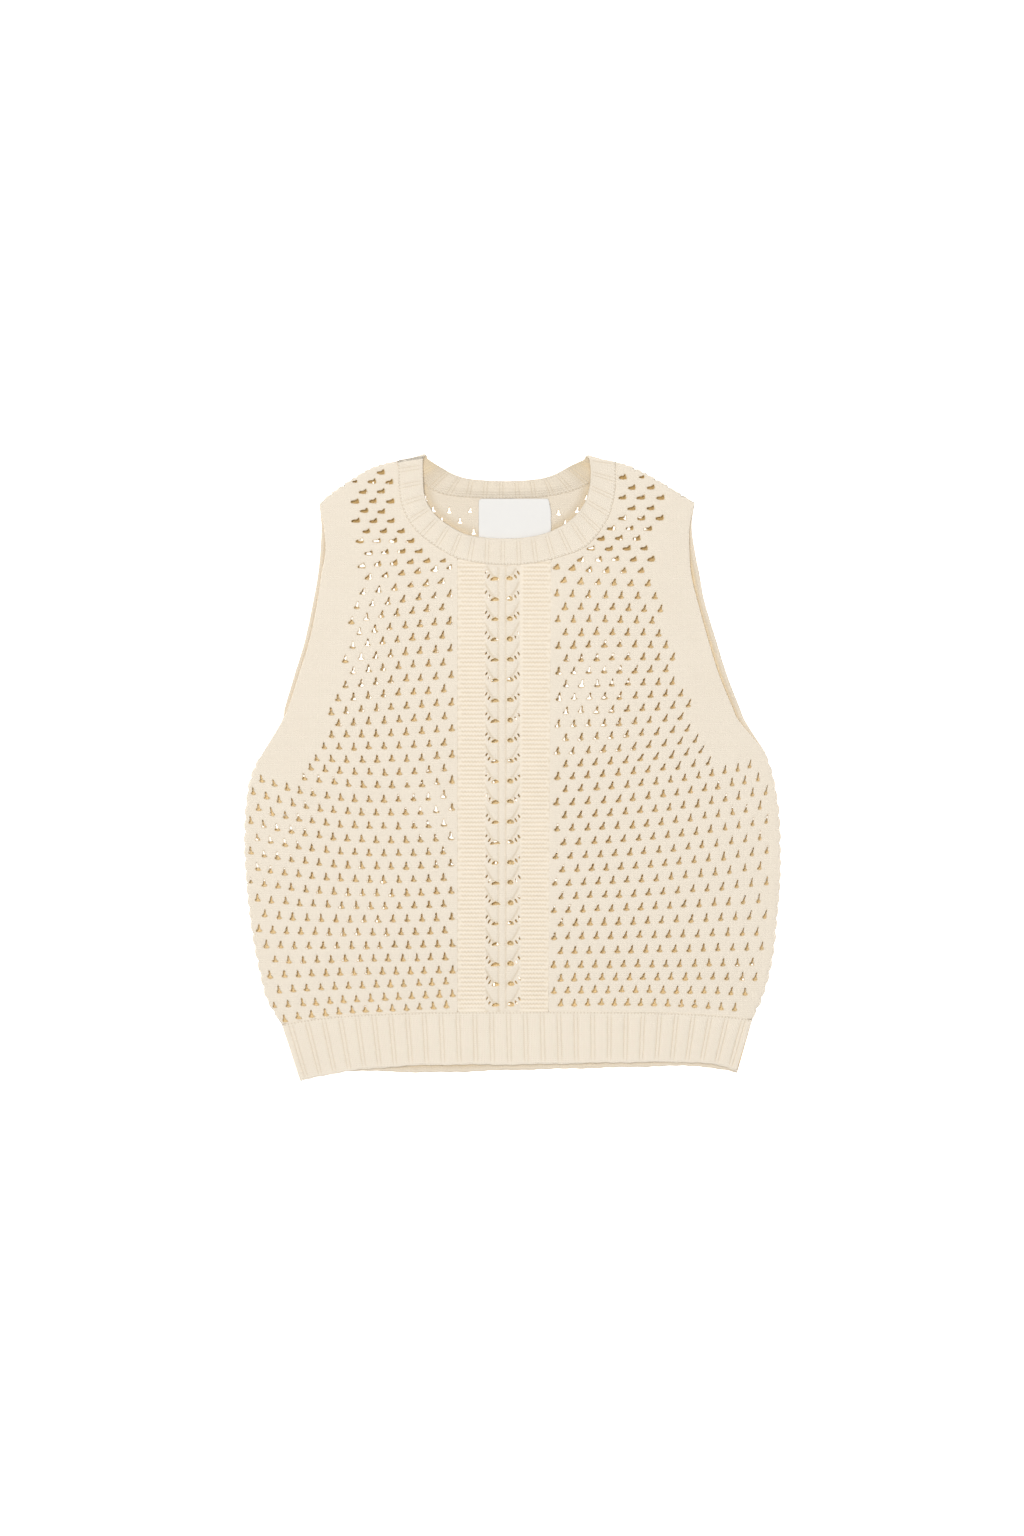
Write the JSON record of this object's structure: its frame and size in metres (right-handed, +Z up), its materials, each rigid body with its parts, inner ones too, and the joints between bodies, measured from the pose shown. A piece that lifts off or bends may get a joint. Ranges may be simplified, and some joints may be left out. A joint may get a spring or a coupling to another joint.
{
  "type": "sleeveless openwork knitted jumper laid flat",
  "caption": "Sleeveless openwork knitted jumper lying flat, front up, with a ribbed round neck, a centre lace cable strip, plain armhole borders and a ribbed hem.",
  "frame": {"origin": "on the surface the jumper lies on, under the middle of its outline", "axes": "+Z up out of the front, +Y from the hem to the neck, +X to the right as seen from above"},
  "size_m": [0.4613, 0.5397, 0.0081],
  "materials": {
    "openwork_knit": "matt soft cotton yarn",
    "rib_knit": "matt soft cotton yarn, ribbed",
    "woven_label": "smooth woven satin, blank"
  },
  "bodies": {
    "root": {"front_panel": "openwork_knit", "back_panel": "openwork_knit", "neckband": "rib_knit", "front_hem_rib": "rib_knit", "back_hem_rib": "rib_knit", "label": "woven_label"}
  },
  "joints": []
}
